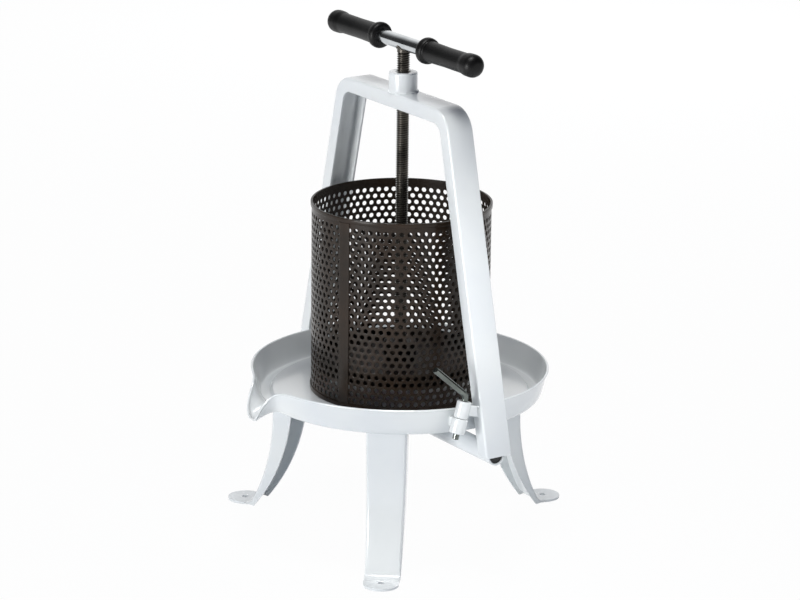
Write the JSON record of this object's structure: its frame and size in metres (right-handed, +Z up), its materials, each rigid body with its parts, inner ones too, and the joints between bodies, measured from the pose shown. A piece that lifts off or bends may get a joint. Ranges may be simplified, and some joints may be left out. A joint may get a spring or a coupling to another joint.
{
  "type": "screw fruit press",
  "caption": "Tabletop screw fruit press: perforated round basket in a spouted drip tray on splayed legs, under a flared channel yoke with a T-handle screw and a pull-pin lock.",
  "frame": {"origin": "on the ground, on the screw's axis", "axes": "+Z up along the screw, -Y towards the spout, +X towards the lock; the yoke's plane is turned 3.2 degrees about +Z and the spout's middle line as much the other way"},
  "size_m": [0.3978, 0.399, 0.5748],
  "materials": {
    "white_enamel": "gloss powder coat",
    "brown_enamel": "satin brown-black enamel",
    "dark_steel": "black oxide",
    "zinc_steel": "bright zinc",
    "plain_steel": "satin",
    "black_rubber": "matte moulded",
    "black_plastic": "matte"
  },
  "bodies": {
    "stand": {"drip_tray": "white_enamel", "leg_front_right": "white_enamel", "leg_front_left": "white_enamel", "leg_rear": "white_enamel", "pivot_lug_right": "white_enamel", "pivot_lug_left": "white_enamel", "cross_tube": "white_enamel", "tube_plug_right": "black_plastic", "tube_plug_left": "black_plastic", "yoke": "white_enamel", "lower_knuckle": "white_enamel"},
    "pin": {"lock_pin": "zinc_steel"},
    "ram": {"press_plate": "plain_steel"},
    "screw": {"press_screw": "dark_steel", "handle_bar": "zinc_steel", "grip_right": "black_rubber", "grip_left": "black_rubber"},
    "basket": {"basket_shell": "brown_enamel"}
  },
  "joints": [
    {"name": "plate_travel", "type": "slide", "parent": "stand", "child": "ram", "axis": [0, 0, 1], "range_m": [-0.0222, 0.2252]},
    {"name": "screw_turn", "type": "hinge", "parent": "ram", "child": "screw", "pos_m": [0, 0, 0.2], "axis": [0, 0, 1], "range_deg": [-3118.1, 31889.8]},
    {"name": "lock_pull", "type": "slide", "parent": "stand", "child": "pin", "axis": [-0.0148, 0.2651, 0.9641], "range_m": [0, 0.03]},
    {"name": "basket_lift", "type": "slide", "parent": "stand", "child": "basket", "axis": [0, 0, 1], "range_m": [0, 0.06]}
  ],
  "couplings": [
    {"joint": "plate_travel", "follows": "screw_turn", "m_per_rad": 0.00040425}
  ]
}
